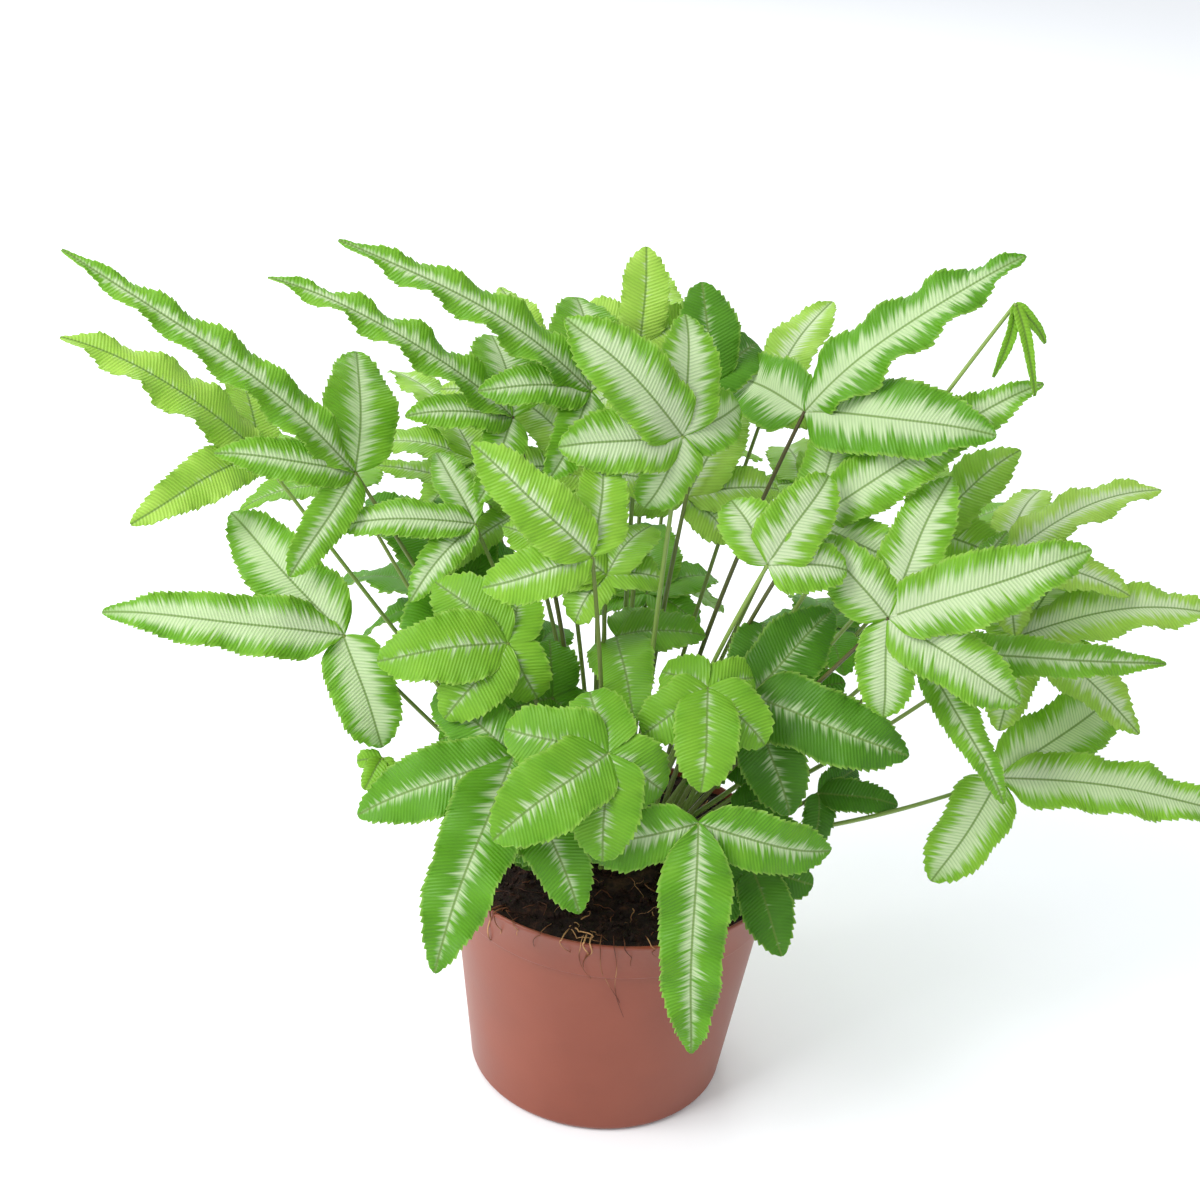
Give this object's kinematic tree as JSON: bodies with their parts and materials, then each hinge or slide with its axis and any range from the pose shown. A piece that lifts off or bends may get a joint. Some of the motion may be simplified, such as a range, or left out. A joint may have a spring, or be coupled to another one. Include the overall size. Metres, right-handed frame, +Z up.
{
  "type": "potted variegated brake fern",
  "caption": "Potted fern with long crisped, white-banded fronds on wiry stalks, rooted in peat in a round tapered plastic pot; stands on its flat base.",
  "frame": {"origin": "centre of the pot's flat underside", "axes": "+Z up out of the pot, +X to the right as the plant is seen from its full front, -Y towards that front"},
  "size_m": [0.4097, 0.2569, 0.3073],
  "materials": {
    "pot_plastic": "injection-moulded terracotta-coloured polypropylene, satin, fine moulding texture",
    "peat": "moist dark peat with fine brown and cream root fibres",
    "crown": "rough dark scaly crown",
    "foliage": "thin leathery green leaflets with a whitish feathered band along the midrib, on smooth olive to brown stalks"
  },
  "bodies": {
    "root": {"pot": "pot_plastic", "potting_soil": "peat", "crown": "crown", "front_hanging_frond": "foliage", "low_right_frond": "foliage", "low_left_frond": "foliage", "front_left_frond": "foliage", "tall_left_frond": "foliage", "tall_right_frond": "foliage", "tall_centre_frond": "foliage", "upper_right_frond": "foliage", "right_frond": "foliage", "tall_inner_frond": "foliage", "upper_left_frond": "foliage", "far_left_frond": "foliage", "far_right_frond": "foliage", "centre_frond": "foliage", "left_arching_frond": "foliage", "centre_right_frond": "foliage", "front_centre_frond": "foliage", "right_shaded_frond": "foliage", "right_narrow_frond": "foliage", "unrolling_frond": "foliage", "inner_right_frond": "foliage", "left_narrow_frond": "foliage", "left_shaded_frond": "foliage", "inner_frond": "foliage", "front_right_low_frond": "foliage", "front_low_frond": "foliage", "right_upright_frond": "foliage", "right_pale_frond": "foliage", "back_tip_frond": "foliage", "back_dark_frond": "foliage", "young_left_frond": "foliage", "inner_left_frond": "foliage", "inner_upper_frond": "foliage", "inner_back_frond": "foliage", "inner_shaded_frond": "foliage", "crown_left_frond": "foliage", "crown_right_frond": "foliage", "soil_left_frond": "foliage", "soil_middle_frond": "foliage", "soil_right_frond": "foliage", "drooping_small_frond": "foliage", "rear_tall_frond": "foliage", "rear_left_frond": "foliage", "rear_right_frond": "foliage", "rear_low_left_frond": "foliage", "rear_low_right_frond": "foliage", "rear_drooping_frond": "foliage", "rear_upper_left_frond": "foliage", "rear_upper_right_frond": "foliage", "rear_outer_left_frond": "foliage", "rear_outer_right_frond": "foliage", "rear_spreading_frond": "foliage", "heart_left_frond": "foliage", "heart_right_frond": "foliage", "heart_back_frond": "foliage", "heart_upper_frond": "foliage"}
  },
  "joints": []
}
